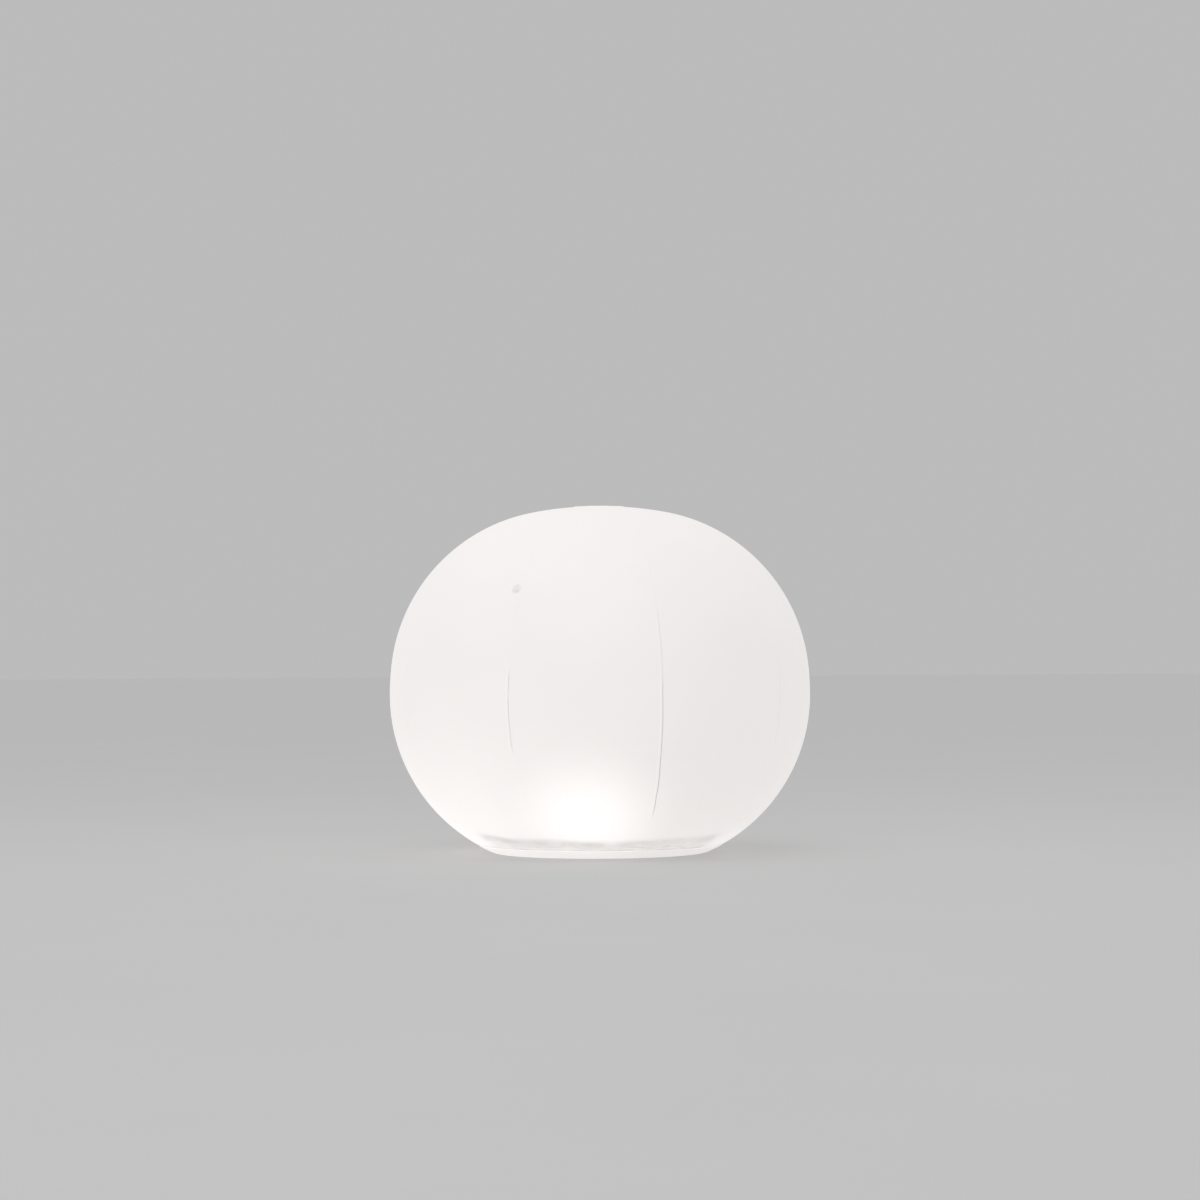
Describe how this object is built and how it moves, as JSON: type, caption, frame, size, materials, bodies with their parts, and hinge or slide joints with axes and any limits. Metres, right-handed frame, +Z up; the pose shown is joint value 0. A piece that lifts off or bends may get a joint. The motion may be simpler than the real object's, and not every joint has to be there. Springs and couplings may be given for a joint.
{
  "type": "floating globe light",
  "caption": "Inflated white globe light with a flat base, welded gores, a valve and a removable rechargeable lamp module that a ring locks into its underside.",
  "frame": {"origin": "on the ground under the centre of the globe", "axes": "+Z up through the crown; -Y is the front that the picture shows, so +X is its right side"},
  "size_m": [1.2043, 1.2062, 0.9895],
  "materials": {
    "film": "satin white translucent PVC film",
    "base_film": "matt white PVC film",
    "moulded_pvc": "satin soft PVC",
    "silicone": "translucent silicone",
    "eyelet": "rolled stainless steel",
    "ring_plastic": "textured moulded plastic",
    "housing_plastic": "textured moulded plastic",
    "seal_rubber": "matt",
    "lens": "frosted",
    "black_plastic": "matt",
    "cover_rubber": "matt",
    "button_rubber": "matt",
    "board": "solder mask",
    "cell": "shrink-wrapped can",
    "foam": "closed-cell foam",
    "sink_aluminium": "extruded",
    "led_board": "white solder mask on aluminium",
    "led": "phosphor"
  },
  "bodies": {
    "globe": {"gore_panel_1": "film", "gore_panel_2": "film", "gore_panel_3": "film", "gore_panel_4": "film", "gore_panel_5": "film", "gore_panel_6": "film", "gore_panel_7": "film", "gore_panel_8": "film", "gore_panel_9": "film", "crown_disc": "film", "base_panel": "base_film", "port_collar": "moulded_pvc", "tether_tab": "moulded_pvc", "tether_eyelet": "eyelet", "valve_body": "moulded_pvc", "valve_strap": "moulded_pvc"},
    "valve_plug": {"valve_plug": "moulded_pvc"},
    "valve_flap": {"valve_flap": "silicone"},
    "light_module": {"lamp_housing": "housing_plastic", "housing_seal": "seal_rubber", "lens_cap": "lens", "charge_socket": "black_plastic", "charge_strap": "cover_rubber", "push_switch": "black_plastic", "control_board": "board", "board_components": "black_plastic", "battery_cell_1": "cell", "battery_cell_2": "cell", "battery_cell_3": "cell", "battery_cell_4": "cell", "battery_tray": "black_plastic", "battery_pad": "foam", "heat_sink": "sink_aluminium", "led_board": "led_board", "leds": "led"},
    "lock_ring": {"lock_ring": "ring_plastic"},
    "power_button": {"power_button": "button_rubber"},
    "charge_cover": {"charge_cover": "cover_rubber"}
  },
  "joints": [
    {"name": "module_drop", "type": "slide", "parent": "globe", "child": "light_module", "axis": [0, 0, -1], "range_m": [0, 0.01001]},
    {"name": "lock_ring_turn", "type": "hinge", "parent": "light_module", "child": "lock_ring", "pos_m": [-0.046, 0, 0.006], "axis": [0, 0, -1], "range_deg": [0, 900]},
    {"name": "button_press", "type": "slide", "parent": "light_module", "child": "power_button", "axis": [0, 0, 1], "range_m": [0, 0.0015], "stiffness_N_per_m": 600, "springref_m": -0.001},
    {"name": "charge_cover_swing", "type": "hinge", "parent": "light_module", "child": "charge_cover", "pos_m": [-0.0885, 0, 0.0092], "axis": [0, 1, 0], "range_deg": [0, 95]},
    {"name": "valve_plug_pull", "type": "slide", "parent": "globe", "child": "valve_plug", "axis": [-0.422, -0.726, 0.543], "range_m": [0, 0.014]},
    {"name": "valve_flap_swing", "type": "hinge", "parent": "globe", "child": "valve_flap", "pos_m": [-0.21505, -0.45636, 0.74299], "axis": [0.8646, -0.5025, 0], "range_deg": [0, 60], "stiffness_Nm_per_rad": 0.001, "springref_deg": -11.46}
  ],
  "couplings": [
    {"joint": "module_drop", "follows": "lock_ring_turn", "m_per_rad": 0.00063662}
  ]
}
